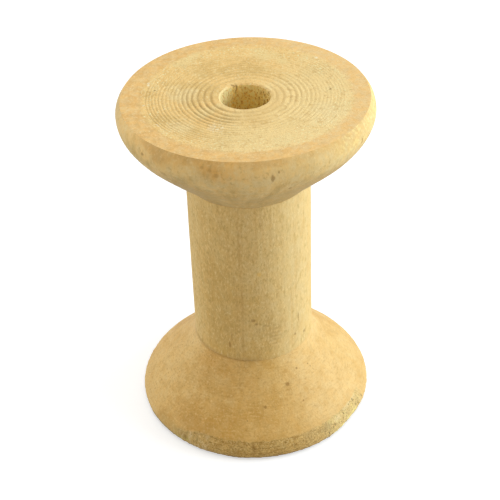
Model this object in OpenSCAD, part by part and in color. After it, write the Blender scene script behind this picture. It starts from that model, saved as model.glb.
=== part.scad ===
// Empty wooden thread spool. Three turned pieces share one axis: a bowl-shaped upper flange,
// a plain barrel and a cone-shaped lower flange. The barrel ends in round tenons, glued into
// blind sockets in the flanges, and one bore runs through all three for the pin that it turns on.
// Millimetres, +Z up, origin at the centre of the lower end face.

/* [Spool] */
// Height over the two end faces
spool_h = 59; // [54:0.1:80]
// Diameter of the bore through all three pieces
bore_d = 7.6; // [5:0.1:8.4]
// Width and depth of the bevel round each mouth of the bore
mouth_bevel = 0.3; // [0.1:0.1:0.6]

/* [Barrel] */
// Diameter of the barrel where it meets the upper flange
barrel_d = 20.1; // [18:0.1:26]
// How much wider the barrel is where it meets the lower flange
barrel_taper = 0.3; // [0:0.1:1]

/* [Upper flange] */
// Widest diameter of the upper flange
upper_d = 40; // [34:0.5:50]
// Depth of the upper flange, from its end face to the barrel
upper_depth = 14.2; // [12:0.1:16]
// Distance from the upper face's sharp edge out to the widest line
upper_edge_inset = 0.9; // [0.4:0.05:2]
// Drop below the upper face at which the edge has turned to face outwards
upper_edge_turn = 0.9; // [0:0.1:1.5]
// Drop of the widest line below the upper face
upper_rim_drop = 2.2; // [1.6:0.1:3.5]
// Reach of the upper bowl's curve below its widest line
upper_rim_reach = 3.7; // [2:0.1:5]
// Reach of the upper bowl's curve out from the barrel
upper_foot_reach = 5.2; // [2:0.1:6]
// Slope of the upper bowl where it meets the barrel, in degrees from the face
upper_foot_slope = 49; // [40:0.5:65]

/* [Lower flange] */
// Widest diameter of the lower flange
lower_d = 40.4; // [34:0.1:50]
// Depth of the lower flange, from its end face to the barrel
lower_depth = 13.6; // [12:0.1:16]
// Distance from the lower face's edge out to the widest line
lower_edge_inset = 1.2; // [0.4:0.05:2]
// Height above the lower face at which the edge has turned to face outwards
lower_edge_turn = 0; // [0:0.1:0.8]
// Height of the widest line above the lower face
lower_rim_drop = 1.2; // [1:0.1:3]
// Reach of the lower cone's curve above its widest line
lower_rim_reach = 2.6; // [2:0.1:5]
// Reach of the lower cone's curve out from the barrel
lower_foot_reach = 4.5; // [3:0.1:7]
// Slope of the lower cone where it meets the barrel, in degrees from the face
lower_foot_slope = 77.5; // [60:0.5:85]

/* [Glued joints] */
// Width of the barrel's shoulder round each tenon
shoulder_w = 3; // [2:0.1:3.5]
// Length of each tenon
tenon_l = 8; // [5:0.1:9]
// Glue film round each tenon
glue_film = 0.05; // [0.02:0.01:0.1]
// Room for spare glue between each tenon's end and the floor of its socket
glue_room = 0.3; // [0.1:0.1:0.8]

/* [Hidden] */

face_wood = [0.89, 0.76, 0.52];
barrel_wood = [0.80, 0.70, 0.47];
cone_wood = [0.86, 0.68, 0.40];

edge_steps = 8; // pieces of the curve round a flange's edge
bowl_steps = 28; // pieces of the curve from the widest line to the barrel
past = 1; // how far a cutter runs past the surface that it opens

bore_r = bore_d / 2;
barrel_upper_r = barrel_d / 2;
barrel_lower_r = barrel_upper_r + barrel_taper / 2;
barrel_low_z = lower_depth;
barrel_high_z = spool_h - upper_depth;
tenon_r = barrel_upper_r - shoulder_w;
socket_r = tenon_r + glue_film;
socket_l = tenon_l + glue_room;

$fn = 96;

// A point on the Bezier curve of the given control points, at t from 0 to 1
function on_curve(points, t) =
    len(points) == 1
        ? points[0]
        : on_curve([for (i = [0 : len(points) - 2]) points[i] * (1 - t) + points[i + 1] * t], t);

// Half section of a flange that lies face down: [radius, distance from the end face]
function flange_section(rim_r, depth, inset, turn, drop, rim_reach, foot_r, foot_reach, slope) =
    let (
        widest = [rim_r, drop],
        foot = [foot_r, depth],
        edge = [[rim_r - inset, 0], [rim_r, turn], widest],
        bowl = [
            widest,
            widest + [0, rim_reach],
            foot + foot_reach * [cos(slope), -sin(slope)],
            foot
        ]
    )
    concat(
        [[0, 0]],
        [for (i = [0 : edge_steps]) on_curve(edge, i / edge_steps)],
        [for (i = [1 : bowl_steps]) on_curve(bowl, i / bowl_steps)],
        [[0, depth]]
    );

// The bore and its bevelled mouth, for a flange that lies face down
module mouth_cut(depth) {
    translate([0, 0, -past])
        cylinder(h = depth + 2 * past, r = bore_r);
    translate([0, 0, -past])
        cylinder(h = past + mouth_bevel, r1 = bore_r + past + mouth_bevel, r2 = bore_r);
}

// The blind socket for a tenon, for a flange that lies face down
module socket_cut(depth) {
    translate([0, 0, depth - socket_l])
        cylinder(h = socket_l + past, r = socket_r);
}

// Puts a flange that lies face down on top of the spool, face up
module at_top() {
    translate([0, 0, spool_h])
        mirror([0, 0, 1])
            children();
}

module upper_flange() {
    color(face_wood)
        at_top()
            difference() {
                rotate_extrude()
                    polygon(flange_section(
                        upper_d / 2, upper_depth, upper_edge_inset, upper_edge_turn, upper_rim_drop,
                        upper_rim_reach, barrel_upper_r, upper_foot_reach, upper_foot_slope
                    ));
                mouth_cut(upper_depth);
                socket_cut(upper_depth);
            }
}

module barrel() {
    color(barrel_wood)
        difference() {
            union() {
                translate([0, 0, barrel_low_z])
                    cylinder(h = barrel_high_z - barrel_low_z, r1 = barrel_lower_r, r2 = barrel_upper_r);
                translate([0, 0, barrel_low_z - tenon_l])
                    cylinder(h = barrel_high_z - barrel_low_z + 2 * tenon_l, r = tenon_r);
            }
            translate([0, 0, barrel_low_z - tenon_l - past])
                cylinder(h = barrel_high_z - barrel_low_z + 2 * (tenon_l + past), r = bore_r);
        }
}

module lower_flange() {
    color(cone_wood)
        difference() {
            rotate_extrude()
                polygon(flange_section(
                    lower_d / 2, lower_depth, lower_edge_inset, lower_edge_turn, lower_rim_drop,
                    lower_rim_reach, barrel_lower_r, lower_foot_reach, lower_foot_slope
                ));
            mouth_cut(lower_depth);
            socket_cut(lower_depth);
        }
}

upper_flange();
barrel();
lower_flange();
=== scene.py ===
"""Looks of an empty wooden thread spool: three turned pieces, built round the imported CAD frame."""

import math

import bpy
import numpy as np
from mathutils import Matrix, Vector


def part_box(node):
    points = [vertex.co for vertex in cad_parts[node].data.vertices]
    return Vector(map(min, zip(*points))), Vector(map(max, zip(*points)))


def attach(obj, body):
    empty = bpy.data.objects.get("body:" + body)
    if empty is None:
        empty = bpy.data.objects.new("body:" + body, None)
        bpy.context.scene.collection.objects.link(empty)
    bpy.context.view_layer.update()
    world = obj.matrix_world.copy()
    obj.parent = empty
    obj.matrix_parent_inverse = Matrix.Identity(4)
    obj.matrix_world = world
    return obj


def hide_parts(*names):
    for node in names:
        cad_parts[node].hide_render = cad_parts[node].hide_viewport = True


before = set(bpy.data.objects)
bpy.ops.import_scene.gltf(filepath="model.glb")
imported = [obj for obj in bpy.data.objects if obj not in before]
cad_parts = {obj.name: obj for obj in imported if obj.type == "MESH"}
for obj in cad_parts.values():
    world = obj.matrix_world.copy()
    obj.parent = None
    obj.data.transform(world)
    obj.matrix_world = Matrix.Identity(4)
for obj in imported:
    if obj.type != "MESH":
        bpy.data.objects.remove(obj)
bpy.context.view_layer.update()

# ---------------- sizes, in millimetres as in the CAD model
MM = 0.001
low_box, barrel_box, high_box = (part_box(name) for name in ("lower_flange", "barrel", "upper_flange"))
SPOOL_H = high_box[1].z / MM
UPPER_FOOT_Z = high_box[0].z / MM
LOWER_FOOT_Z = low_box[1].z / MM
UPPER_RIM_R = high_box[1].x / MM
LOWER_RIM_R = low_box[1].x / MM
TENON_HIGH_Z = barrel_box[1].z / MM
TENON_LOW_Z = barrel_box[0].z / MM

BORE_R = 3.8
MOUTH_BEVEL = 0.3
BARREL_UPPER_R = 10.05
BARREL_LOWER_R = 10.2
TENON_R = 7.05
TENON_L = 8.0
GLUE_FILM = 0.05
GLUE_ROOM = 0.3
UPPER = dict(inset=0.9, turn=0.9, drop=2.2, rim_reach=3.7, foot_reach=5.2, slope=49.0)
LOWER = dict(inset=1.2, turn=0.0, drop=1.2, rim_reach=2.6, foot_reach=4.5, slope=77.5)

# ---------------- what the wear and the tools did to them
FOOT_BEVEL = 0.07  # softened corners that make the fine line between the barrel and the lower flange
HEAD_BEVEL = 0.03  # the same at the upper flange, where the joint hardly shows
MOUTH_DROP = 0.8 * MOUTH_BEVEL  # how far the softened bevel of the bore's mouth goes down
MOUTH_WIDTH = 0.7 * MOUTH_BEVEL  # and how wide it is on the face
BAND_R = 16.3  # the smooth band of the upper face starts here
DISH_DEPTH = 0.27  # how much lower the middle of the upper face lies than its edge
DISH_FLOOR_R = 9.8  # the dish is flat out to here
DISH_R = 18.0  # and ends here
GROOVE_START_R = 5.0  # the turns of the tool's spiral groove are counted from here
GROOVE_PER_MM = 0.187  # turns to a mm of radius
GROOVE_PER_MM2 = 0.0646  # further turns to a square mm, which bring them closer together further out
GROOVE_SHARPNESS = 2.3  # how narrow the groove is beside the ridges
GROOVE_DEPTH = 0.17  # on the upper face
LOWER_GROOVE_DEPTH = 0.1
CHATTER_PITCH = 0.8  # distance between the tool's chatter marks near the barrel's foot

# ---------------- steps of the meshes
SEGMENTS = 512  # round the axis
SHARP_ANGLE = 24  # degrees; an outline that turns by more than this at a point has a sharp edge there
GROOVED_R = BAND_R - 0.8  # the end faces have fine steps out to here
BAND_STEPS = 10  # and these from there to the edge
MOUTH_STEPS = 3
UPPER_STEPS = dict(face=112, edge=9, bowl=44, wall=18)
LOWER_STEPS = dict(face=70, edge=9, bowl=72, wall=16)
BARREL_STEPS = dict(skin=120, wall=24)

FRONT = -90  # degrees from +X to the front of the spool

# ---------------- noise with a fixed seed, for the shapes


def lattice_noise(cells, seed):
    """Smooth noise from -1 to 1 at points given in lattice cells, the same in every run."""
    base = np.floor(cells).astype(np.int64)
    part = cells - base
    part = part * part * (3 - 2 * part)
    total = np.zeros(len(cells))
    for corner in np.ndindex(2, 2, 2):
        key = (base + corner) @ np.array([73856093, 19349663, 83492791]) + seed * 2654435761
        key = (key ^ (key >> 13)) * 1274126177 & 0xFFFFFFFF
        key = (key ^ (key >> 16)) * 2246822519 & 0xFFFFFFFF
        value = (key ^ (key >> 11)) % 65521 / 32760.5 - 1
        weight = np.prod(np.where(corner, part, 1 - part), axis=1)
        total += weight * value
    return total


def smooth_step(low, high, x):
    """0 below low, 1 above high, and smooth between."""
    t = np.clip((x - low) / (high - low), 0, 1)
    return t * t * (3 - 2 * t)


def bell(distance, width):
    """1 at no distance, falling softly to 0 over about two widths."""
    return np.exp(-((distance / width) ** 2))


# ---------------- turned outlines: arrays of (radius, height)


def bezier(points, steps):
    """The curve of the given control points, without its first point."""
    stack = np.array(points, float)[:, None, :] * np.ones((1, steps, 1))
    t = (np.arange(1, steps + 1) / steps)[:, None]
    while len(stack) > 1:
        stack = stack[:-1] * (1 - t) + stack[1:] * t
    return stack[0]


def line(start, end, steps):
    """Even steps from start to end, without start."""
    t = (np.arange(1, steps + 1) / steps)[:, None]
    return np.array(start) * (1 - t) + np.array(end) * t


def dished(points, depth):
    """Points of an end face, moved inwards as far as the face is dished there."""
    sink = depth * (1 - smooth_step(DISH_FLOOR_R, DISH_R, points[:, 0]))
    return points + np.stack([0 * sink, sink], 1)


def flange_outline(rim_r, depth, foot_r, foot_bevel, form, dish, steps):
    """Closed outline of a flange that lies face down, as zones of (radius, distance from the face)."""
    web = depth - (TENON_L + GLUE_ROOM)
    socket_r = TENON_R + GLUE_FILM
    mouth_r = BORE_R + MOUTH_WIDTH
    face_r = rim_r - form["inset"]
    widest = (rim_r, form["drop"])
    foot = np.array([foot_r, depth])
    slope = math.radians(form["slope"])
    reach = foot + form["foot_reach"] * np.array([math.cos(slope), -math.sin(slope)])
    bowl = bezier([widest, (rim_r, form["drop"] + form["rim_reach"]), reach, foot], steps["bowl"])
    bowl[-1] = foot + (-foot_bevel * 0.2, -foot_bevel)  # stops short of it, for the softened corner
    socket = [(foot_r - 2 * foot_bevel, depth), (socket_r, depth), (socket_r, web), (BORE_R, web)]
    return [
        ("wall", line((BORE_R, web), (BORE_R, dish + MOUTH_DROP), steps["wall"])),
        ("mouth", line((BORE_R, dish + MOUTH_DROP), (mouth_r, dish), MOUTH_STEPS)),
        ("face", dished(line((mouth_r, 0), (GROOVED_R, 0), steps["face"] - BAND_STEPS), dish)),
        ("face", dished(line((GROOVED_R, 0), (face_r, 0), BAND_STEPS), dish)),
        ("edge", bezier([(face_r, 0), (rim_r, form["turn"]), widest], steps["edge"])),
        ("bowl", bowl),
        ("joint", np.array(socket)),
    ]


def barrel_outline():
    """Closed outline of the barrel with its two tenons, as zones of (radius, height)."""
    low, high = LOWER_FOOT_Z, UPPER_FOOT_Z
    foot = (BARREL_LOWER_R, low + FOOT_BEVEL)
    head = (BARREL_UPPER_R, high - HEAD_BEVEL)
    low_end = [
        (BORE_R, TENON_LOW_Z),
        (TENON_R, TENON_LOW_Z),
        (TENON_R, low),
        (BARREL_LOWER_R - FOOT_BEVEL, low),
        foot,
    ]
    high_end = [
        (BARREL_UPPER_R - HEAD_BEVEL, high),
        (TENON_R, high),
        (TENON_R, TENON_HIGH_Z),
        (BORE_R, TENON_HIGH_Z),
    ]
    wall = line((BORE_R, TENON_HIGH_Z), (BORE_R, TENON_LOW_Z), BARREL_STEPS["wall"])
    return [
        ("joint", np.array(low_end)),
        ("skin", line(foot, head, BARREL_STEPS["skin"])),
        ("joint", np.array(high_end)),
        ("wall", wall[:-1]),
    ]


def at_top(zones):
    """Zones of a flange that lies face down, turned face up on top of the spool."""
    return [(label, np.stack([points[:, 0], SPOOL_H - points[:, 1]], 1)) for label, points in zones]


# ---------------- turned meshes


def add_object(name, data):
    """A new object in the scene."""
    added = bpy.data.objects.new(name, data)
    bpy.context.scene.collection.objects.link(added)
    return added


def outward_normals(outline):
    """Unit normals of a closed outline, out of the wood, and whether it runs anticlockwise."""
    along = np.roll(outline, -1, 0) - np.roll(outline, 1, 0)
    outward = np.stack([along[:, 1], -along[:, 0]], 1)
    outward /= np.linalg.norm(outward, axis=1)[:, None]
    radius, height = outline[:, 0], outline[:, 1]
    area = np.sum(radius * np.roll(height, -1) - np.roll(radius, -1) * height)
    return outward * np.sign(area), area > 0


def ring_quads(count, anticlockwise):
    """Corner numbers of the faces between the rings of vertices that an outline's points sweep out."""
    ring, step = np.meshgrid(np.arange(count), np.arange(SEGMENTS), indexing="ij")
    next_step = (step + 1) % SEGMENTS
    this, after = ring * SEGMENTS, (ring + 1) % count * SEGMENTS
    corners = [this + step, this + next_step, after + next_step, after + step]
    return np.stack([c.ravel() for c in (corners if anticlockwise else corners[::-1])], 1)


def mark_sharp(mesh, outline):
    """Marks the rings of edges where the outline has a corner."""
    before = outline - np.roll(outline, 1, 0)
    after = np.roll(outline, -1, 0) - outline
    cosine = np.sum(before * after, 1) / (np.linalg.norm(before, axis=1) * np.linalg.norm(after, axis=1))
    corner_ring = cosine < math.cos(math.radians(SHARP_ANGLE))
    edges = np.zeros(len(mesh.edges) * 2, np.int64)
    mesh.edges.foreach_get("vertices", edges)
    rings = edges.reshape(-1, 2) // SEGMENTS
    on_ring = rings[:, 0] == rings[:, 1]
    sharp = mesh.attributes.get("sharp_edge") or mesh.attributes.new("sharp_edge", "BOOLEAN", "EDGE")
    sharp.data.foreach_set("value", on_ring & corner_ring[rings[:, 0]])


def turned_mesh(name, places, faces, materials, slots, dirt_and_shade):
    """A mesh of quads, with a material's number for each outline point and the dirt and painted shade of each
    vertex.
    """
    mesh = bpy.data.meshes.new(name)
    mesh.vertices.add(len(places))
    mesh.vertices.foreach_set("co", places.ravel())
    mesh.loops.add(faces.size)
    mesh.loops.foreach_set("vertex_index", faces.ravel())
    mesh.polygons.add(len(faces))
    mesh.polygons.foreach_set("loop_start", np.arange(len(faces)) * 4)
    for material in materials:
        mesh.materials.append(material)
    mesh.polygons.foreach_set("material_index", np.repeat(np.roll(slots, -1), SEGMENTS))
    mesh.polygons.foreach_set("use_smooth", np.ones(len(faces), bool))
    stained = mesh.attributes.new("dirt_and_shade", "FLOAT", "POINT")
    stained.data.foreach_set("value", dirt_and_shade.astype(np.float32))
    mesh.update()
    mesh.validate()
    return mesh


def turned_piece(name, zones, relief, skins):
    """A closed turned object; skins gives each zone's material.

    relief(zone, radius, height, angle) gives how far the surface lies below the outline, and its dirt and
    painted shade.
    """
    outline = np.vstack([points for _, points in zones])
    labels = [label for label, points in zones for _ in points]
    outward, anticlockwise = outward_normals(outline)
    radius = np.repeat(outline[:, 0], SEGMENTS)
    height = np.repeat(outline[:, 1], SEGMENTS)
    turn = np.tile(np.arange(SEGMENTS) / SEGMENTS * 2 * math.pi, len(outline))
    zone_of = np.repeat(np.array(labels), SEGMENTS)
    sunk, dirt_and_shade = np.zeros((2, len(turn)))
    for label in sorted(set(labels) - {"joint"}):
        here = zone_of == label
        sunk[here], dirt_and_shade[here] = relief(label, radius[here], height[here], turn[here])
    radius = radius - sunk * np.repeat(outward[:, 0], SEGMENTS)
    height = height - sunk * np.repeat(outward[:, 1], SEGMENTS)
    places = np.stack([radius * np.cos(turn), radius * np.sin(turn), height], 1) * MM
    faces = ring_quads(len(outline), anticlockwise)
    materials = list(dict.fromkeys(skins.values()))
    slots = np.array([materials.index(skins[label]) for label in labels])
    mesh = turned_mesh(name, places, faces, materials, slots, dirt_and_shade)
    mark_sharp(mesh, outline)
    return add_object(name, mesh)


# ---------------- relief, in millimetres below the outline


def around(radius, height, angle, across, along):
    """Lattice cells that go round the axis without a seam.

    There are `across` cells to a mm round the axis and outwards, and `along` to a mm of height.
    """
    return np.stack([radius * np.cos(angle) * across, radius * np.sin(angle) * across, height * along], 1)


def angle_from(angle, middle):
    """Degrees between an angle in radians and a middle in degrees, counted from +X."""
    return (np.degrees(angle) - middle + 180) % 360 - 180


def split_at(angle, middle, half_width):
    """1 at a crack's middle, 0 past its half width, in degrees."""
    return np.clip(1 - np.abs(angle_from(angle, middle)) / half_width, 0, 1)


def tool_groove(radius, angle):
    """The spiral groove that the tool cut into an end face, its turns closer together further out.

    Gives its shape and its strength, which is greatest on the left and near the bore.
    """
    from_front = angle_from(angle, FRONT)
    wander = np.stack([np.cos(angle) * 2.2, np.sin(angle) * 2.2, radius * 0.45], 1)
    turns = GROOVE_PER_MM * (radius - GROOVE_START_R)
    turns = turns + GROOVE_PER_MM2 * (radius ** 2 - GROOVE_START_R ** 2) + from_front / 360
    wave = 0.5 + 0.5 * np.cos(2 * math.pi * (turns + 0.07 * lattice_noise(wander, 4)))
    left = smooth_step(-135, -65, from_front) * (1 - smooth_step(-11, -5, from_front))
    right = smooth_step(45, 95, from_front) * (1 - smooth_step(118, 142, from_front))
    front = smooth_step(-11, 5, from_front) * (1 - smooth_step(50, 75, from_front))
    strength = 0.48 + 0.68 * left + 0.35 * right + 0.3 * front
    outwards = smooth_step(4.4, 4.9, radius) * (1 - 0.5 * smooth_step(7.5, 12.0, radius))
    outwards = outwards * (1 - smooth_step(15.2, 16.2, radius))
    patches = 0.85 + 0.35 * lattice_noise(wander * 2.6 + 5, 5)
    return wave ** GROOVE_SHARPNESS, strength * outwards * patches


def upper_bore_relief(radius, height, angle, fine):
    """The upper flange's bore: fibres, torn on the right and at the back, and a split at the back."""
    fibres = lattice_noise(around(radius, height, angle, 2.6, 0.5), 13)
    ragged = bell(angle_from(angle, 12), 38)
    torn = bell(angle_from(angle, 82), 45) * smooth_step(58.0, 58.7, height)
    split = split_at(angle + 0.05 * fine, 111, 3.2) * smooth_step(56.3, 57.6, height)
    sunk = 0.04 * (fibres + 1) + (0.16 * ragged + 0.14 * torn) * (0.5 + 0.5 * fine) + 0.12 * split
    return sunk, 0.75 * split


def upper_face_relief(radius, angle, fine, slow):
    """The upper end face: a fuzzy, grooved disc inside a smooth band, split and chipped at the bore."""
    disc = 1 - smooth_step(BAND_R - 0.15, BAND_R + 0.1, radius + 0.12 * fine)
    groove, strength = tool_groove(radius, angle)
    fuzz = 0.022 * (fine + 1) * disc
    step = 0.04 * bell(radius - BAND_R, 0.18)
    split = split_at(angle, 114, 6.0) * (1 - smooth_step(4.0, 4.4, radius))
    chips = 0.1 * smooth_step(0.35, 0.8, fine) * (1 - smooth_step(4.1, 4.5, radius))
    sunk = fuzz + step + GROOVE_DEPTH * groove * strength + 0.35 * split + chips + 0.01 * (slow + 1)
    from_front = angle_from(angle, FRONT)
    # grime and painted shade in the groove: fuller on the left, less on the lit right
    grime_and_shade = 0.6 + 0.4 * smooth_step(-5, -20, from_front)
    grime_and_shade = grime_and_shade - 0.3 * smooth_step(20, 45, from_front) * (1 - smooth_step(100, 130, from_front))
    return sunk, np.clip(groove * strength * (grime_and_shade + 0.8 * split), 0, 1)


def upper_relief(zone, radius, height, angle):
    """Relief of the upper flange, whose edge and bowl have a few shallow nicks."""
    fine = lattice_noise(around(radius, height, angle, 3.1, 1.6), 11)
    slow = lattice_noise(around(radius, height, angle, 0.35, 0.2), 12)
    if zone in ("wall", "mouth"):
        return upper_bore_relief(radius, height, angle, fine)
    if zone == "face":
        return upper_face_relief(radius, angle, fine, slow)
    nicks = smooth_step(0.55, 0.95, lattice_noise(around(radius, height, angle, 1.4, 1.4), 14))
    return 0.012 * (fine + 1) + 0.03 * (slow + 1) + 0.05 * nicks, 0.0


def barrel_relief(zone, radius, height, angle):
    """Relief of the barrel: fine fibres along the axis and a trace of tool chatter near its foot."""
    fibres = lattice_noise(around(radius, height, angle, 2.8, 0.35), 21)
    if zone == "wall":
        return 0.03 * (fibres + 1), 0.0
    slow = lattice_noise(around(radius, height, angle, 0.3, 0.12), 22)
    waves = 0.5 + 0.5 * np.cos(2 * math.pi * height / CHATTER_PITCH)
    chatter = waves * bell(angle_from(angle, -70), 9) * smooth_step(15, 17, height)
    chatter = chatter * (1 - smooth_step(20, 22, height))
    return 0.016 * (fibres + 1) + 0.025 * (slow + 1) + 0.05 * chatter, chatter


def lower_relief(zone, radius, height, angle):
    """Relief of the lower flange: a smooth cone over a rougher rim, notched in front, worn on the right."""
    fine = lattice_noise(around(radius, height, angle, 2.6, 2.6), 31)
    slow = lattice_noise(around(radius, height, angle, 0.3, 0.3), 32)
    if zone in ("wall", "mouth"):
        return 0.03 * (lattice_noise(around(radius, height, angle, 2.6, 0.12), 33) + 1), 0.0
    if zone == "face":
        groove, strength = tool_groove(radius, angle + 1.0)
        # the second value is the groove's grime and painted shade
        return 0.03 * (fine + 1) + LOWER_GROOVE_DEPTH * groove * strength, 0.6 * groove * strength
    rough = 1 - smooth_step(3.0, 3.5, height + 0.1 * slow)
    notch = split_at(angle, -92.5, 1.6) * (1 - smooth_step(2.7, 3.3, height)) * smooth_step(0.6, 1.6, height)
    torn = bell(angle_from(angle, -38), 14)
    worn = bell(angle_from(angle, -35), 11) * (1 - smooth_step(1.8, 3.6, height))
    sunk = 0.006 * (fine + 1) + 0.025 * (slow + 1) + (0.05 + 0.05 * torn) * rough * (fine + 1)
    return sunk + 0.35 * notch + 0.22 * worn, notch


# ---------------- materials

CREAM = (0.97, 0.8, 0.46)
PALE = (0.957, 0.67, 0.279)
YELLOW = (0.93, 0.72, 0.34)
TAN = (0.62, 0.38, 0.12)
ORANGE = (0.79, 0.525, 0.22)
BROWN = (0.33, 0.18, 0.05)
WARMER = (1.03, 0.98, 0.88)  # these two multiply a colour
COOLER = (0.975, 1.012, 1.09)
WOOD_SPECULAR = 0.15  # bare wood hardly shines


def fill(node, **values):
    """Gives these inputs of a node their values."""
    for name, value in values.items():
        node.inputs[name].default_value = value


class Shader:
    """Builds one material's nodes. Colours are linear, lengths are in millimetres."""

    def __init__(self, name):
        self.material = bpy.data.materials.new(name)
        self.material.use_nodes = True
        self.nodes = self.material.node_tree.nodes
        self.links = self.material.node_tree.links
        self.surface = self.nodes["Principled BSDF"]
        coordinates = self.nodes.new("ShaderNodeTexCoord").outputs["Object"]
        self.place = self.scaled(coordinates, (1 / MM, 1 / MM, 1 / MM))
        axes = self.nodes.new("ShaderNodeSeparateXYZ")
        self.links.new(self.place, axes.inputs[0])
        self.x, self.y, self.z = axes.outputs
        squares = self.math("ADD", self.times(self.x, self.x), self.times(self.y, self.y))
        self.radius = self.math("SQRT", squares)

    def feed(self, socket, value):
        if isinstance(value, bpy.types.NodeSocket):
            self.links.new(value, socket)
        else:
            socket.default_value = value

    def math(self, operation, *values):
        node = self.nodes.new("ShaderNodeMath")
        node.operation = operation
        for socket, value in zip(node.inputs, values):
            self.feed(socket, value)
        return node.outputs[0]

    def times(self, first, second):
        return self.math("MULTIPLY", first, second)

    def most(self, first, second):
        """The larger of two masks."""
        return self.math("MAXIMUM", first, second)

    def swing(self, noise, size):
        """The noise, made to run about 0 and this many times as large."""
        return self.times(self.math("SUBTRACT", noise, 0.5), size)

    def raised(self, base, mask, share):
        """base, and share more where the mask is 1."""
        return self.math("ADD", self.times(mask, share), base)

    def vector_math(self, operation, first, second=None):
        node = self.nodes.new("ShaderNodeVectorMath")
        node.operation = operation
        self.feed(node.inputs[0], first)
        if second is not None:
            node.inputs[1].default_value = second
        return node.outputs

    def scaled(self, vector, factors):
        return self.vector_math("MULTIPLY", vector, factors)["Vector"]

    def drawn(self, height_scale):
        """The place, its height scaled: less than 1 draws a noise out along the axis."""
        return self.scaled(self.place, (1, 1, height_scale))

    def joined(self, x, y, z):
        node = self.nodes.new("ShaderNodeCombineXYZ")
        for socket, value in zip(node.inputs, (x, y, z)):
            self.feed(socket, value)
        return node.outputs[0]

    def noise(self, vector, scale, detail=2.0, roughness=0.5, distortion=0.0):
        node = self.nodes.new("ShaderNodeTexNoise")
        self.feed(node.inputs["Vector"], vector)
        fill(node, Scale=scale, Detail=detail, Roughness=roughness, Distortion=distortion)
        return node.outputs["Fac"]

    def step(self, value, low, high):
        """0 below low, 1 above high, and smooth between; high may be below low."""
        node = self.nodes.new("ShaderNodeMapRange")
        node.interpolation_type = "SMOOTHSTEP"
        self.feed(node.inputs["Value"], value)
        ends = (high, low, 1.0, 0.0) if high < low else (low, high, 0.0, 1.0)
        for name, end in zip(("From Min", "From Max", "To Min", "To Max"), ends):
            node.inputs[name].default_value = end
        return node.outputs["Result"]

    def mix(self, share, first, second, blend="MIX"):
        node = self.nodes.new("ShaderNodeMix")
        node.data_type = "RGBA"
        node.blend_type = blend
        self.feed(node.inputs["Factor"], share)
        for socket, colour in ((node.inputs[6], first), (node.inputs[7], second)):
            self.feed(socket, colour if isinstance(colour, bpy.types.NodeSocket) else (*colour, 1.0))
        return node.outputs[2]

    def foot_line(self, near):
        """Mask of the grime and painted shade in the corner between the barrel and the lower flange, faint on
        the lit right.
        """
        return self.times(near, self.most(self.sectors([(-45, 50), (160, 40)], soft=15), 0.15))

    def attribute(self, name):
        node = self.nodes.new("ShaderNodeAttribute")
        node.attribute_name = name
        return node.outputs["Fac"]

    def round_vector(self, round_scale, along):
        """Coordinates for grain that runs round the axis: few cells round it, many along the given value."""
        cosine = self.times(self.math("DIVIDE", self.x, self.radius), round_scale)
        sine = self.times(self.math("DIVIDE", self.y, self.radius), round_scale)
        return self.joined(cosine, sine, along)

    def front_angle(self):
        """Degrees from the front of the spool, to the right of it."""
        return self.times(self.math("ARCTAN2", self.x, self.times(self.y, -1.0)), 180 / math.pi)

    def sectors(self, zones, wobble=0.0, soft=5):
        """Mask of soft-edged sectors round the axis, each (middle, half width) in degrees from the front."""
        angle = self.math("ADD", self.front_angle(), wobble)
        mask = 0.0
        for middle, half_width in zones:
            apart = self.math("WRAP", self.math("SUBTRACT", angle, middle), 180, -180)
            apart = self.math("ABSOLUTE", apart)
            mask = self.most(self.step(apart, half_width + soft, half_width - soft), mask)
        return mask

    def spots(self, places, grain=4.0, raggedness=0.9, outside=1.15, inside=0.45):
        """Mask of small marks.

        Each is (angle from the front, height, radius, half width, half height), in degrees and mm.
        """
        mask = 0.0
        ragged = self.swing(self.noise(self.place, grain), raggedness)
        for angle, height, radius, half_width, half_height in places:
            turn = math.radians(angle)
            centre = (radius * math.sin(turn), -radius * math.cos(turn), height)
            offset = self.vector_math("SUBTRACT", self.place, centre)["Vector"]
            stretched = self.scaled(offset, (1 / half_width, 1 / half_width, 1 / half_height))
            distance = self.math("ADD", self.vector_math("LENGTH", stretched)["Value"], ragged)
            mask = self.most(self.step(distance, outside, inside), mask)
        return mask

    def patches(self, places):
        """Mask of large, soft and ragged patches, given as for spots."""
        return self.spots(places, grain=0.7, raggedness=2.2, outside=1.5, inside=0.4)

    def bump(self, height, distance):
        """The normal of a fine relief whose height from 0 to 1 stands for this many mm."""
        node = self.nodes.new("ShaderNodeBump")
        fill(node, Strength=1.0, Distance=distance * MM)
        self.feed(node.inputs["Height"], height)
        return node.outputs["Normal"]

    def finish(self, coat, roughness, normal):
        self.feed(self.surface.inputs["Base Color"], coat.colour)
        self.feed(self.surface.inputs["Roughness"], roughness)
        self.links.new(normal, self.surface.inputs["Normal"])
        self.surface.inputs["Specular IOR Level"].default_value = WOOD_SPECULAR
        return self.material


class Coat:
    """A colour that is built up in layers with a shader's nodes."""

    def __init__(self, shader, colour):
        self.shader = shader
        self.colour = colour

    def tint(self, other, mask, share=1.0):
        """Puts some of another colour over this one where the mask is 1."""
        self.colour = self.shader.mix(self.shader.times(mask, share), self.colour, other)

    def speckle(self, noise, light, light_share, dark, dark_share, fade=0.18):
        """Adds fine light and dark specks, from the two ends of a noise."""
        self.tint(light, self.shader.step(noise, 0.54, 0.54 + fade), light_share)
        self.tint(dark, self.shader.step(noise, 0.46, 0.46 - fade), dark_share)

    def drift(self, strength):
        """Lets the hue drift slightly from place to place."""
        s = self.shader
        place = s.step(s.noise(s.drawn(0.7), 0.8, 2.0, 0.68), 0.36, 0.64)
        self.colour = s.mix(strength, self.colour, s.mix(place, WARMER, COOLER), "MULTIPLY")


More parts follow.
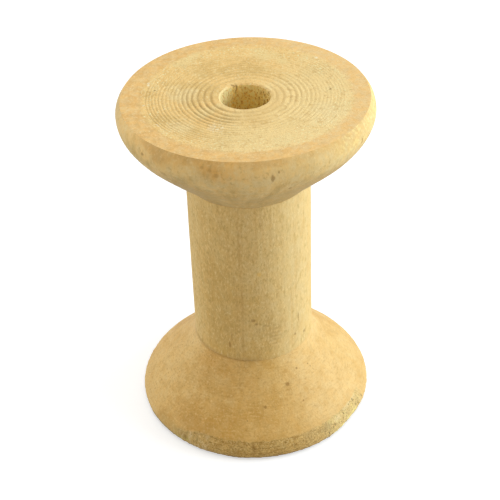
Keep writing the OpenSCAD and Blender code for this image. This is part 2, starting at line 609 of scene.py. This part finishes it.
def disc_wood(s, fuzz, mottle, ragged, disc):
    """The pale and fuzzy end grain inside the band."""
    blotch = s.noise(s.place, 0.14)
    wood = Coat(s, PALE)
    wood.tint((0.8, 0.57, 0.23), s.step(blotch, 0.52, 0.36), 0.8)
    wood.tint(YELLOW, s.step(blotch, 0.52, 0.66))
    # painted light: the disc is lighter on the lit right
    wood.tint((1.0, 0.82, 0.43), s.sectors([(55, 80)], s.times(ragged, 15), 20), 0.6)
    clean = s.patches([
        (-97.0, SPOOL_H, 9.8, 2.4, 2.4),
        (-48.0, SPOOL_H, 13.0, 2.0, 2.0),
        (62.0, SPOOL_H, 13.6, 3.0, 3.0),
    ])
    wood.tint((1.0, 0.83, 0.46), clean, 0.6)
    worn = s.patches([
        (-150.0, SPOOL_H, 10.5, 3.2, 3.2),
        (176.0, SPOOL_H, 9.5, 2.6, 2.6),
        (-95.0, SPOOL_H, 15.3, 1.2, 1.2),
    ])
    wood.tint((0.72, 0.48, 0.17), worn, 0.5)
    wood.tint((0.97, 0.74, 0.345), s.step(mottle, 0.52, 0.7), 0.7)
    wood.tint((0.76, 0.525, 0.21), s.step(mottle, 0.47, 0.32), 0.6)
    # fuzz, flakes, and the grime and painted shade in the groove
    dark_share = s.raised(0.62, s.sectors([(64, 48)], soft=20), -0.4)
    wood.speckle(fuzz, (1.0, 0.89, 0.55), 0.95, (0.6, 0.41, 0.155), dark_share)
    outer = s.times(s.step(s.radius, 11.5, 14.5), disc)
    flakes = s.times(s.step(s.noise(s.place, 2.7, 1.0, 0.6), 0.64, 0.68), outer)
    wood.tint((1.0, 0.93, 0.57), flakes, 0.95)
    wood.tint((0.45, 0.305, 0.12), s.attribute("dirt_and_shade"), 0.62)
    # round the bore
    # painted highlight: a paler lip round the bore
    lip = s.times(s.step(s.radius, 4.18, 4.0), s.sectors([(-30, 110)], s.times(ragged, 20)))
    wood.tint((1.0, 0.86, 0.46), lip, 0.7)
    near = s.times(s.step(s.radius, 7.0, 5.5), s.sectors([(65, 50)], soft=15))
    front = s.times(s.step(s.radius, 10.5, 7.0), s.sectors([(10, 20)], soft=15))
    wood.tint((0.74, 0.48, 0.17), s.most(near, front), 0.33)
    return wood


def band_wood(s, fuzz, mottle):
    """The smoother and more orange band of the end faces."""
    turning = s.noise(s.round_vector(9.0, s.times(s.radius, 2.2)), 1.0, 3.0, 0.6)
    band = Coat(s, ORANGE)
    band.tint((0.88, 0.62, 0.27), s.step(turning, 0.35, 0.65), 0.6)
    clouds = s.noise(s.place, 0.55)
    band.tint((0.69, 0.44, 0.165), s.step(clouds, 0.49, 0.32), 0.4)
    band.tint((0.89, 0.63, 0.28), s.step(clouds, 0.51, 0.68), 0.4)
    band.tint((0.69, 0.435, 0.155), s.step(mottle, 0.48, 0.34), 0.4)
    band.tint((0.9, 0.65, 0.31), s.step(mottle, 0.53, 0.66), 0.3)
    # painted light: the band is lighter on the lit right
    band.tint((0.93, 0.69, 0.345), s.sectors([(100, 70)], soft=25), 0.45)
    band.speckle(fuzz, CREAM, 0.75, TAN, 0.5)
    band.drift(0.85)
    return band


def end_grain():
    """The end faces: pale end grain, fuzzy and ringed, inside a smoother and more orange band."""
    s = Shader("end_grain")
    mottle = s.noise(s.place, 1.1, 3.0, 0.6)
    fuzz = s.noise(s.place, 3.2, 3.0, 0.75)
    ragged = s.swing(s.noise(s.place, 1.2, 3.0, 0.7), 2.2)
    # the disc inside the band ends raggedly, nearer to the axis on the left than on the right
    shift = s.math("SUBTRACT", s.sectors([(-108, 34)], soft=15), s.sectors([(48, 34)], soft=15))
    edge = s.math("ADD", s.math("ADD", s.radius, ragged), s.times(shift, 0.35))
    disc = s.step(edge, BAND_R + 0.5, BAND_R - 0.5)
    wood = disc_wood(s, fuzz, mottle, ragged, disc)
    band = band_wood(s, fuzz, mottle)
    colour = Coat(s, s.mix(disc, band.colour, wood.colour))
    # single marks
    dark = s.spots([
        (94.8, SPOOL_H, 13.1, 0.32, 0.5),
        (-100.2, SPOOL_H, 14.1, 0.2, 0.5),
        (-151.0, SPOOL_H - DISH_DEPTH, 4.15, 0.22, 0.6),
        (-154.5, SPOOL_H - DISH_DEPTH, 4.05, 0.22, 0.6),
    ])
    colour.tint(BROWN, dark, 0.75)
    torn = s.spots([
        (134.0, SPOOL_H, 16.1, 0.35, 0.5),
        (-107.4, SPOOL_H, 15.65, 0.27, 0.5),
        (-105.3, SPOOL_H, 15.5, 0.27, 0.5),
        (-82.2, SPOOL_H, 15.5, 0.2, 0.5),
        (-76.2, SPOOL_H, 12.6, 0.2, 0.5),
        (-59.5, SPOOL_H, 15.3, 0.2, 0.5),
        (-57.6, SPOOL_H, 15.3, 0.2, 0.5),
    ])
    patch = s.times(s.spots([(-26.0, SPOOL_H, 10.0, 1.5, 1.5)]), s.step(fuzz, 0.46, 0.6))
    colour.tint((1.0, 0.91, 0.66), s.most(torn, patch), 0.8)
    fluff = s.times(fuzz, s.raised(0.3, disc, 0.7))
    normal = s.bump(fluff, 0.2)
    roughness = s.raised(0.62, disc, 0.2)
    return s.finish(colour, roughness, normal)


def bowl_wood(s, grain):
    """The bowl's broad tones, with painted shade towards the foot and low at the sides, and its fine grain.
    """
    blotch = s.noise(s.drawn(0.5), 0.42, 3.0, 0.6)
    streaks = s.noise(s.round_vector(9.0, s.times(s.z, 0.16)), 1.0, 3.0, 0.6)
    mottle = s.noise(s.drawn(0.7), 1.4, 3.0, 0.65)
    wood = Coat(s, (0.66, 0.465, 0.19))
    wood.tint((0.78, 0.555, 0.235), s.step(blotch, 0.45, 0.6), 0.9)
    wood.tint((0.48, 0.33, 0.12), s.step(streaks, 0.5, 0.36), 0.6)
    wood.tint((0.82, 0.63, 0.31), s.step(streaks, 0.52, 0.66), 0.7)
    # painted shade: darker towards the foot, and darker still low at the sides and back
    wood.tint((0.51, 0.38, 0.185), s.step(s.z, 54.5, 49.5), 0.4)
    shaded = s.sectors([(-44, 22), (45, 23), (150, 40)], soft=10)
    wood.tint((0.38, 0.255, 0.1), s.times(s.step(s.z, 56.3, 52.0), shaded), 0.62)
    # under the edge
    ragged = s.swing(s.noise(s.place, 0.6, 4.0, 0.65), 4.0)
    depth = s.math("ADD", s.z, ragged)
    near_edge = s.step(depth, SPOOL_H - 4.2, SPOOL_H - 2.0)
    wood.tint((0.87, 0.62, 0.27), near_edge, 0.85)
    right = s.sectors([(44, 26)], soft=12)
    wood.tint((0.58, 0.41, 0.165), right, 0.4)
    edge_line = s.step(depth, SPOOL_H - 1.6, SPOOL_H - 0.5)
    edge_line = s.times(edge_line, s.sectors([(-26, 26), (150, 30)], soft=12))
    worn = s.patches([
        (-37.5, 58.3, 19.8, 3.4, 1.3),
        (-13.5, 57.7, 19.9, 2.6, 1.7),
        (120.0, 57.7, 19.9, 4.0, 1.5),
        (-160.0, 57.9, 19.9, 4.0, 1.3),
    ])
    wood.tint((0.59, 0.335, 0.095), s.most(edge_line, worn), 0.7)
    warm = s.patches([(-5.0, 57.6, 20.0, 4.8, 1.4), (-31.0, 57.7, 20.0, 2.4, 1.0)])
    wood.tint((0.93, 0.565, 0.175), warm, 0.45)
    # single places
    # painted shade along the left outline, where the wood turns from the light
    wood.tint((0.42, 0.36, 0.24), s.sectors([(-100, 24)], soft=12), 0.36)
    wood.tint((0.47, 0.36, 0.14), s.patches([(-59.0, 55.8, 19.8, 3.6, 1.8)]), 0.5)
    # painted shade low on the right outline
    low_right = s.times(s.sectors([(102, 22)], soft=12), s.step(s.z, 56.5, 53.5))
    wood.tint((0.42, 0.33, 0.18), low_right, 0.3)
    wood.tint((0.56, 0.415, 0.18), s.sectors([(-31, 11)], soft=8), 0.28)
    thin_line = s.times(s.sectors([(38, 20)], soft=5), 0.4)
    thin_line = s.most(thin_line, s.sectors([(8, 9)], soft=5))
    wood.tint((0.62, 0.36, 0.11), s.times(thin_line, s.step(s.z, 57.9, 58.5)), 0.5)
    pale = s.patches([
        (-27.0, 56.5, 19.9, 2.8, 1.1),
        (-1.0, 56.0, 20.0, 4.0, 2.2),
        (33.0, 57.2, 19.9, 2.2, 1.2),
        (38.0, 55.9, 19.8, 4.2, 1.5),
        (-17.0, 55.1, 19.6, 2.6, 1.1),
    ])
    wood.tint((0.86, 0.645, 0.305), pale, 0.5)
    # fine grain, and fluff on the right
    wood.speckle(mottle, (0.84, 0.64, 0.31), 0.4, (0.5, 0.32, 0.1), 0.5)
    wood.speckle(grain, CREAM, 0.3, TAN, 0.4)
    fluff = s.times(near_edge, s.step(s.front_angle(), 34, 46))
    tufts = s.noise(s.place, 1.7, 3.0, 0.7)
    wood.tint((0.66, 0.49, 0.18), s.times(fluff, s.step(tufts, 0.48, 0.38)), 0.3)
    wood.tint((0.9, 0.77, 0.34), s.times(fluff, s.step(tufts, 0.5, 0.6)), 0.4)
    wood.drift(0.7)
    return wood


def bowl_side():
    """The upper flange's side: orange brown patches under the edge, pale below them, greyer at the foot with
    painted shade.
    """
    s = Shader("bowl_side")
    grain = s.noise(s.drawn(0.6), 3.6, 3.0, 0.7)
    wood = bowl_wood(s, grain)
    flecks = s.spots([
        (9.9, 56.4, 20.0, 0.36, 0.8),
        (12.5, 57.4, 20.0, 0.22, 0.4),
        (18.8, 53.2, 18.4, 0.3, 0.5),
        (-49.6, 57.1, 20.0, 0.35, 0.35),
        (57.6, 56.5, 20.0, 0.26, 0.8),
    ])
    faint = s.spots([
        (-19.1, 58.1, 19.7, 0.35, 0.3),
        (-15.8, 57.8, 19.8, 0.35, 0.3),
        (-13.0, 57.1, 20.0, 0.45, 0.4),
        (-38.6, 55.1, 19.6, 0.7, 0.5),
    ])
    wood.tint(BROWN, s.most(flecks, s.times(faint, 0.5)), 0.65)
    normal = s.bump(grain, 0.05)
    return s.finish(wood, 0.62, normal)


def barrel_wood(s, speckle):
    """The barrel's broad tones, grain and speckle."""
    blotch = s.noise(s.drawn(0.5), 0.42, 3.0)
    lines = s.noise(s.drawn(0.04), 1.5, 3.0, 0.6)
    mottle = s.noise(s.drawn(0.6), 1.3, 3.0, 0.6)
    wobble = s.swing(lines, 25)
    heart = s.sectors([(-32, 25), (120, 22), (-150, 14)], wobble, 16)
    heart = s.times(heart, s.raised(0.48, s.step(s.z, 42, 24), 0.52))
    wood = Coat(s, (0.755, 0.55, 0.24))
    wood.tint((0.69, 0.465, 0.165), heart, 0.9)
    darker = s.patches([
        (-35.0, 25.0, 10.2, 2.3, 13.0),
        (14.0, 20.5, 10.2, 1.5, 2.6),
        (112.0, 26.0, 10.2, 2.4, 9.0),
    ])
    wood.tint((0.58, 0.385, 0.13), darker, 0.6)
    warm = s.patches([
        (6.0, 15.5, 10.2, 2.6, 3.0),
        (-33.0, 14.8, 10.2, 2.0, 1.6),
        (2.0, 25.5, 10.2, 1.2, 3.0),
    ])
    wood.tint((0.66, 0.42, 0.115), warm, 0.45)
    wood.tint((0.76, 0.59, 0.3), s.sectors([(46, 14)], wobble, 10), 0.35)
    # grain, and a speckle whose dark pores hardly show on the lit side
    wood.tint(TAN, s.step(blotch, 0.48, 0.34), 0.22)
    wood.tint((0.78, 0.585, 0.26), s.step(blotch, 0.52, 0.68), 0.3)
    wood.tint(TAN, s.step(lines, 0.5, 0.68), 0.28)
    wood.tint((0.54, 0.365, 0.12), s.step(mottle, 0.48, 0.32), 0.45)
    lit = s.step(s.front_angle(), 5, 40)
    light_share = s.raised(0.5, lit, -0.15)
    wood.tint((0.93, 0.74, 0.39), s.step(speckle, 0.53, 0.67), light_share)
    pores = s.times(s.step(speckle, 0.47, 0.33), s.raised(1.0, lit, -0.7))
    wood.tint((0.46, 0.29, 0.085), pores, 0.55)
    wood.drift(0.35)
    return wood


def barrel_side():
    """The barrel: matt and straight-grained, finely speckled, with darker sides and a few dark streaks."""
    s = Shader("barrel_side")
    speckle = s.noise(s.drawn(0.42), 3.6, 3.0, 0.7, 0.4)
    wood = barrel_wood(s, speckle)
    marks = s.spots([
        (-0.2, 22.4, 10.2, 0.5, 0.42),
        (2.6, 21.6, 10.2, 0.32, 0.3),
        (48.0, 20.2, 10.2, 0.2, 1.3),
        (57.9, 15.8, 10.2, 0.5, 0.4),
        (43.0, 16.9, 10.2, 0.25, 0.35),
        (-23.8, 16.7, 10.2, 0.24, 0.75),
    ])
    faint = s.spots([
        (-21.4, 18.6, 10.2, 0.18, 1.5),
        (10.0, 21.1, 10.2, 0.35, 0.3),
        (14.0, 20.9, 10.2, 0.3, 0.3),
        (23.0, 26.8, 10.1, 0.25, 0.7),
        (-44.5, 24.6, 10.2, 0.4, 0.4),
    ])
    streaks = s.spots([
        (-9.8, 26.0, 10.2, 0.3, 5.5),
        (-11.0, 37.0, 10.1, 0.26, 8.0),
        (-10.6, 17.0, 10.2, 0.26, 3.5),
    ])
    chatter = s.times(s.spots([(20.5, 18.4, 10.2, 1.4, 3.2)]), s.attribute("dirt_and_shade"))
    faint = s.times(s.most(faint, chatter), 0.5)
    wood.tint(BROWN, s.most(marks, faint), 0.6)
    wood.tint((0.45, 0.25, 0.06), streaks, 0.25)
    wood.tint((0.8, 0.5, 0.12), s.spots([(6.5, 31.9, 10.1, 0.45, 0.5)]), 0.5)
    # grime and painted shade in the corner at the barrel's foot, faint on the lit right
    near_foot = s.step(s.z, LOWER_FOOT_Z + 0.9, LOWER_FOOT_Z + 0.05)
    wood.tint(BROWN, s.foot_line(near_foot), 0.3)
    normal = s.bump(speckle, 0.055)
    return s.finish(wood, 0.78, normal)


def cone_wood(s, fuzz, angle):
    """The smooth cone: orange-tan, browner in front and paler on both sides."""
    blotch = s.noise(s.place, 0.2, 3.0, 0.6)
    mottle = s.noise(s.place, 0.9, 3.0, 0.6)
    wood = Coat(s, (0.71, 0.445, 0.136))
    wood.tint((0.77, 0.515, 0.19), s.step(blotch, 0.4, 0.6))
    wood.tint((0.79, 0.565, 0.24), s.sectors([(-64, 26), (170, 40)], soft=14), 0.4)
    wood.tint((0.86, 0.63, 0.29), s.sectors([(-82, 22)], soft=10), 0.4)
    wood.tint((0.84, 0.615, 0.3), s.sectors([(50, 26)], soft=12), 0.45)
    wood.tint((0.76, 0.555, 0.265), s.sectors([(88, 20)], soft=12), 0.4)
    collar = s.times(s.step(s.z, 7.3, 8.8), s.step(s.z, 12.6, 11.0))
    half_right = s.times(s.sectors([(37, 20)], soft=8), 0.45)
    collar = s.times(collar, s.most(s.sectors([(-35, 22), (1, 6), (165, 45)], soft=8), half_right))
    wood.tint((0.62, 0.365, 0.095), collar, 0.4)
    browner = s.patches([
        (-22.0, 5.5, 17.0, 4.5, 3.0),
        (9.0, 6.0, 16.7, 4.5, 4.0),
        (-41.0, 5.0, 17.2, 3.5, 3.0),
        (-24.0, 3.6, 18.8, 6.0, 1.0),
        (4.0, 3.6, 18.8, 4.0, 0.9),
        (-33.0, 4.0, 18.4, 3.0, 0.9),
        (-53.0, 2.5, 19.8, 2.2, 1.2),
        (170.0, 7.0, 15.5, 8.0, 5.0),
    ])
    wood.tint((0.59, 0.335, 0.08), browner, 0.5)
    # paler patches; the two in front just below the barrel's foot are painted light over the joint's shade
    paler = s.patches([
        (-8.0, 10.5, 12.0, 3.2, 3.0),
        (-13.0, 12.6, 10.8, 1.8, 1.6),
        (20.0, 6.0, 16.4, 1.8, 1.8),
    ])
    wood.tint((0.86, 0.59, 0.24), paler, 0.4)
    left_foot = s.times(s.step(s.z, 10.0, 12.0), s.sectors([(-40, 18)], soft=10))
    wood.tint((0.62, 0.35, 0.085), left_foot, 0.6)
    # fine mottling and the arcs of the turning
    wood.tint((0.58, 0.335, 0.09), s.step(mottle, 0.48, 0.32), 0.28)
    clouds = s.noise(s.place, 0.42)
    wood.tint((0.58, 0.34, 0.09), s.step(clouds, 0.48, 0.33), 0.24)
    wood.tint((0.84, 0.6, 0.26), s.step(clouds, 0.52, 0.67), 0.24)
    down_slope = s.times(s.math("SUBTRACT", s.radius, s.z), 2.4)
    arcs = s.noise(s.round_vector(11.0, down_slope), 1.0, 3.0, 0.7)
    wood.speckle(arcs, (0.88, 0.64, 0.28), 0.42, (0.54, 0.31, 0.09), 0.45, 0.15)
    calm = s.raised(0.6, s.step(angle, -40, 40), -0.3)
    wood.speckle(fuzz, (0.9, 0.68, 0.34), calm, (0.46, 0.25, 0.06), calm, 0.15)
    wood.tint((0.57, 0.33, 0.085), s.step(s.z, 4.5, 3.6), 0.15)
    wood.tint((0.5, 0.28, 0.07), s.patches([(-33, 4.0, 18.4, 3.4, 1.1)]), 0.3)
    return wood


def rim_wood(s, angle):
    """The raw wood of the rim: olive and brown, with pale and yellow strips on the right."""
    layers = s.noise(s.round_vector(14.0, s.times(s.z, 2.4)), 1.0, 4.0, 0.7)
    raw = Coat(s, s.mix(s.step(layers, 0.4, 0.6), (0.45, 0.265, 0.07), (0.65, 0.43, 0.145)))
    raw.tint((0.78, 0.56, 0.24), s.sectors([(-32, 7), (34, 12)], soft=5), 0.35)
    raw.tint((0.24, 0.19, 0.1), s.sectors([(-54, 11)], soft=5), 0.6)
    right = s.step(angle, 30, 46)
    raw.tint((0.8, 0.61, 0.27), right, 0.7)
    specks = s.noise(s.drawn(1.5), 3.6, 2.0, 0.8)
    raw.speckle(specks, (0.8, 0.64, 0.31), 0.75, (0.22, 0.135, 0.035), 0.75, 0.12)
    tufts = s.noise(s.drawn(0.5), 1.6, 3.0, 0.65)
    pale = s.spots([(45.6, 2.7, 19.5, 1.2, 0.5), (54.5, 3.1, 19.2, 1.6, 0.5), (61.0, 3.3, 19.0, 1.2, 0.5)])
    raw.tint((0.92, 0.74, 0.4), pale, 0.5)
    olive = s.spots([(36.5, 2.6, 19.6, 1.8, 0.6), (39.5, 1.9, 20.0, 0.8, 0.5)])
    raw.tint((0.42, 0.31, 0.13), olive, 0.45)
    strips = s.spots([
        (43.0, 0.65, 20.0, 1.0, 0.48),
        (48.0, 0.85, 20.0, 1.2, 0.42),
        (53.0, 1.1, 20.0, 1.3, 0.38),
        (58.4, 1.3, 19.95, 1.2, 0.4),
    ])
    loose = s.times(right, s.times(s.step(tufts, 0.55, 0.63), 0.5))
    bright = s.most(strips, loose)
    raw.tint((0.94, 0.81, 0.31), bright, 0.8)
    green = s.spots([
        (-38.2, 1.6, 20.1, 0.8, 0.5),
        (-42.0, 1.1, 20.15, 1.1, 0.5),
        (-45.0, 1.6, 20.1, 0.7, 0.4),
        (-50.3, 2.0, 19.9, 0.6, 0.4),
    ])
    raw.tint((0.53, 0.47, 0.11), green, 0.6)
    left = s.sectors([(-37, 12)], soft=6)
    light_share = s.times(left, 0.6)
    dark_share = s.times(left, 0.5)
    raw.speckle(tufts, (0.86, 0.68, 0.38), light_share, (0.38, 0.25, 0.08), dark_share, 0.08)
    raw.tint((0.3, 0.22, 0.08), s.times(right, s.step(tufts, 0.42, 0.35)), 0.7)
    return raw


def rough_rim(s, angle):
    """Mask of the rough rim: over 3 mm high in front, about 1 mm at the sides and at the back."""
    ragged = s.swing(s.noise(s.place, 0.7, 4.0, 0.7), 0.9)
    height = s.math("ADD", s.z, ragged)
    ends = s.times(s.step(angle, -50, -38), s.step(angle, 72, 64))
    border = s.math("ADD", height, s.times(s.step(angle, -30, -46), 1.1))
    return s.most(s.times(s.step(border, 3.45, 3.2), ends), s.step(height, 1.5, 0.9))


def cone_side():
    """The lower flange's side: a smooth, orange-tan cone over a rough, olive rim."""
    s = Shader("cone_side")
    fuzz = s.noise(s.place, 2.8, 3.0, 0.75)
    angle = s.front_angle()
    rim = rough_rim(s, angle)
    wood = cone_wood(s, fuzz, angle)
    wood.tint(rim_wood(s, angle).colour, rim, 0.92)
    wood.drift(0.4)
    left_end = s.times(s.step(s.z, 3.2, 2.2), s.sectors([(-48, 13)], soft=6))
    wood.tint((0.47, 0.355, 0.145), left_end, 0.28)
    # single marks on the cone, and the dark dashes of the rim
    marks = s.spots([
        (24.6, 9.4, 12.9, 0.48, 0.36),
        (36.9, 10.8, 11.7, 0.28, 0.25),
        (5.6, 7.3, 15.0, 0.34, 0.28),
        (31.3, 6.9, 15.4, 0.18, 0.32),
        (-5.8, 5.8, 16.6, 0.16, 0.15),
        (49.0, 10.3, 11.9, 0.18, 0.26),
        (49.9, 9.8, 12.3, 0.15, 0.26),
        (50.7, 9.2, 12.8, 0.15, 0.26),
        (-3.1, 2.7, 19.5, 0.3, 0.45),
        (-38.6, 1.8, 20.1, 0.5, 0.5),
    ])
    wood.tint(BROWN, marks, 0.65)
    dashes = s.spots([
        (60.5, 3.1, 19.15, 0.2, 0.85),
        (50.6, 2.9, 19.35, 0.19, 0.8),
        (54.3, 2.55, 19.65, 0.14, 0.6),
        (49.1, 2.2, 19.75, 0.14, 0.6),
        (42.4, 2.3, 19.85, 0.22, 0.34),
        (41.2, 2.0, 19.9, 0.22, 0.34),
        (38.6, 2.4, 19.8, 0.14, 0.5),
        (37.7, 1.6, 20.1, 0.13, 0.4),
        (39.6, 0.9, 20.15, 0.32, 0.22),
        (68.5, 2.1, 19.9, 0.18, 0.7),
    ])
    wood.tint((0.22, 0.15, 0.055), dashes, 0.85)
    # painted shade along the lowest edge, which the yellow strips leave out, and grime and painted shade at
    # the barrel's foot
    clear_of_strips = s.math("SUBTRACT", 1.0, s.sectors([(50, 12)], soft=4))
    below = s.times(s.step(s.z, 0.75, 0.15), clear_of_strips)
    wood.tint(BROWN, below, 0.62)
    # painted contact shade at the lowest edge, on the front and left
    foot = s.times(s.step(s.z, 0.95, 0.35), s.sectors([(-40, 95)], soft=20))
    wood.tint((0.14, 0.095, 0.04), foot, 0.6)
    near_barrel = s.step(s.z, LOWER_FOOT_Z - 0.6, LOWER_FOOT_Z - 0.05)
    wood.tint(BROWN, s.foot_line(near_barrel), 0.3)
    roughened = s.times(fuzz, s.raised(0.4, rim, 0.6))
    normal = s.bump(roughened, 0.22)
    return s.finish(wood, 0.55, normal)


def bore_wall():
    """The bore's wall: golden brown and fuzzy, with painted light just inside its upper mouth and on its
    left.
    """
    s = Shader("bore_wall")
    fibres = s.noise(s.drawn(0.8), 2.2, 3.0, 0.75)
    ragged = s.swing(fibres, 90)
    wood = Coat(s, s.mix(s.step(fibres, 0.36, 0.58), (1.0, 0.69, 0.2), (1.0, 0.8, 0.29)))
    # painted light: paler just inside the upper mouth
    height = s.math("ADD", s.z, s.swing(fibres, 4.0))
    wood.tint((1.0, 0.78, 0.32), s.step(height, SPOOL_H - 2.6, SPOOL_H - 0.6), 0.7)
    # painted light: paler on the left wall, which faces the lamp
    wood.tint((1.0, 0.91, 0.5), s.sectors([(-95, 48)], ragged), 0.8)
    grain = s.noise(s.drawn(0.45), 4.0, 2.0, 0.7)
    wood.speckle(grain, (1.0, 0.86, 0.39), 0.95, (0.68, 0.345, 0.065), 0.78, 0.09)
    # torn on the right, split at the back
    torn = s.sectors([(100, 42)], ragged)
    wood.tint((0.42, 0.22, 0.04), s.times(torn, s.step(fibres, 0.48, 0.4)), 0.75)
    wood.tint(CREAM, s.times(torn, s.step(fibres, 0.55, 0.62)), 0.8)
    split = s.spots([(-154.0, SPOOL_H - DISH_DEPTH, 3.9, 0.3, 0.5)])
    wood.tint((0.2, 0.1, 0.03), s.most(s.attribute("dirt_and_shade"), split), 0.85)
    return s.finish(wood, 0.85, s.bump(fibres, 0.25))


# ---------------- the three pieces


def make_pieces():
    """The two flanges and the barrel, each in place of its CAD node."""
    face, bowl, barrel, cone, bore = end_grain(), bowl_side(), barrel_side(), cone_side(), bore_wall()
    upper_depth = SPOOL_H - UPPER_FOOT_Z
    upper_zones = flange_outline(
        UPPER_RIM_R, upper_depth, BARREL_UPPER_R, HEAD_BEVEL, UPPER, DISH_DEPTH, UPPER_STEPS
    )
    lower_zones = flange_outline(
        LOWER_RIM_R, LOWER_FOOT_Z, BARREL_LOWER_R, FOOT_BEVEL, LOWER, 0.0, LOWER_STEPS
    )
    skins = dict(wall=bore, mouth=face, face=face, edge=bowl, bowl=bowl, joint=barrel)
    upper = turned_piece("upper_flange_turned", at_top(upper_zones), upper_relief, skins)
    skins = dict(wall=bore, mouth=face, face=face, edge=cone, bowl=cone, joint=barrel)
    lower = turned_piece("lower_flange_turned", lower_zones, lower_relief, skins)
    skins = dict(joint=barrel, skin=barrel, wall=bore)
    middle = turned_piece("barrel_turned", barrel_outline(), barrel_relief, skins)
    for piece, node, slot in (
        (upper, "upper_flange", "flange_wood"),
        (middle, "barrel", "barrel_wood"),
        (lower, "lower_flange", "flange_wood"),
    ):
        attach(piece, "root")
        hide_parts(node)


# ---------------- camera

VIEW_ELEVATION = 36.95
VIEW_DISTANCE = 194.74
VIEW_AIM_Z = 29.34
VIEW_SIDE = -0.15  # the camera stands this far to the left of the axis
VIEW_ROLL = 2.16
VIEW_FOCUS_PX = 1162.9
FRAME_PX = 500
SENSOR_WIDTH = 36.0
NEAREST_M = 0.01  # the camera shows nothing nearer than this


def make_camera():
    """The camera in front of the spool, slightly rolled."""
    data = bpy.data.cameras.new("camera")
    data.sensor_width = SENSOR_WIDTH
    data.lens = VIEW_FOCUS_PX / FRAME_PX * SENSOR_WIDTH
    data.clip_start = NEAREST_M
    camera = add_object("camera", data)
    rise = math.radians(VIEW_ELEVATION)
    roll = math.radians(VIEW_ROLL)
    ahead = Vector((0, math.cos(rise), -math.sin(rise)))
    right = Vector((1, 0, 0))
    up = right.cross(ahead)
    turned_right = math.cos(roll) * right - math.sin(roll) * up
    turned_up = math.sin(roll) * right + math.cos(roll) * up
    place = Vector((VIEW_SIDE, 0, VIEW_AIM_Z)) - VIEW_DISTANCE * ahead
    basis = Matrix((turned_right, turned_up, -ahead)).transposed().to_4x4()
    camera.matrix_world = Matrix.Translation(place * MM) @ basis
    bpy.context.scene.camera = camera


# ---------------- floor, world and lamps; lengths in metres

SEEN_RAYS = ("Is Camera Ray", "Is Glossy Ray", "Is Transmission Ray")
FLOOR_HALF_WIDTH = 1.5
FLOOR_BOUNCE = (0.61, 0.61, 0.61, 1)  # what the floor throws back at the spool
FLOOR_SHOWN = (0.72, 0.755, 0.82, 1)  # what it looks like, which is white with the glow added
FLOOR_GLOW = 0.5
WHITE = (1, 1, 1, 1)
WARM = (1.0, 0.9, 0.74)
COOL = (0.93, 0.98, 1.0)
COOLER_STILL = (0.865, 0.955, 1.0)
NEARLY_WHITE = (0.965, 0.985, 1.0)


def path_is(nodes, links, names):
    """1 on the given kinds of ray, else 0."""
    node = nodes.new("ShaderNodeLightPath")
    total = node.outputs[names[0]]
    for name in names[1:]:
        either = nodes.new("ShaderNodeMath")
        either.operation = "MAXIMUM"
        links.new(total, either.inputs[0])
        links.new(node.outputs[name], either.inputs[1])
        total = either.outputs[0]
    return total


def seen_or_not(nodes, links, unseen, seen, output):
    """Gives the output one shader where it is seen, and another where it only lights the rest."""
    pick = nodes.new("ShaderNodeMixShader")
    links.new(path_is(nodes, links, SEEN_RAYS), pick.inputs[0])
    links.new(unseen.outputs[0], pick.inputs[1])
    links.new(seen.outputs[0], pick.inputs[2])
    links.new(pick.outputs[0], output.inputs["Surface"])


def make_floor():
    """A white floor with a soft shadow, left out of the part."""
    half = FLOOR_HALF_WIDTH
    corners = [(-half, -half, 0), (half, -half, 0), (half, half, 0), (-half, half, 0)]
    mesh = bpy.data.meshes.new("floor")
    mesh.from_pydata(corners, [], [(0, 1, 2, 3)])
    floor = add_object("floor", mesh)
    material = bpy.data.materials.new("floor_white")
    material.use_nodes = True
    nodes, links = material.node_tree.nodes, material.node_tree.links
    nodes.remove(nodes["Principled BSDF"])
    plain = nodes.new("ShaderNodeBsdfDiffuse")
    fill(plain, Color=FLOOR_BOUNCE)
    shown = nodes.new("ShaderNodeBsdfDiffuse")
    fill(shown, Color=FLOOR_SHOWN)
    glow = nodes.new("ShaderNodeEmission")
    fill(glow, Strength=FLOOR_GLOW)
    lit = nodes.new("ShaderNodeAddShader")
    links.new(shown.outputs[0], lit.inputs[0])
    links.new(glow.outputs[0], lit.inputs[1])
    seen_or_not(nodes, links, plain, lit, nodes["Material Output"])
    mesh.materials.append(material)


def make_world(strength, tint):
    """Even light from all round, which shows as plain white where it is seen."""
    world = bpy.data.worlds.new("world")
    bpy.context.scene.world = world
    world.use_nodes = True
    nodes, links = world.node_tree.nodes, world.node_tree.links
    plain = nodes["Background"]
    fill(plain, Color=(*tint, 1), Strength=strength)
    white = nodes.new("ShaderNodeBackground")
    fill(white, Color=WHITE)
    seen_or_not(nodes, links, plain, white, nodes["World Output"])


def make_light(name, azimuth, elevation, distance, size, level, tint):
    """A square lamp aimed at the spool's middle; azimuth is counted from the front, to the right.

    level is about the light that it gives a white surface which faces it.
    """
    data = bpy.data.lights.new(name, "AREA")
    data.size = size
    data.energy = level * math.pi ** 2 * distance ** 2
    data.color = tint
    lamp = add_object(name, data)
    turn, rise = math.radians(azimuth), math.radians(elevation)
    out = Vector((math.sin(turn) * math.cos(rise), -math.cos(turn) * math.cos(rise), math.sin(rise)))
    lamp.location = Vector((0, 0, VIEW_AIM_Z * MM)) + out * distance
    lamp.rotation_euler = out.to_track_quat("Z", "Y").to_euler()


def make_lights():
    """A strong lamp on the right, weak ones on the left and above, and even light all round."""
    make_world(strength=0.485, tint=WARM)
    make_light("key_right", azimuth=90, elevation=13, distance=0.4, size=0.3, level=1.11, tint=COOLER_STILL)
    make_light("fill_left", azimuth=-88, elevation=11, distance=0.45, size=0.3, level=0.34, tint=COOL)
    make_light("top", azimuth=180, elevation=80, distance=0.5, size=0.4, level=0.34, tint=NEARLY_WHITE)


make_camera()
make_pieces()
make_floor()
make_lights()
bpy.context.scene.view_settings.view_transform = "Standard"
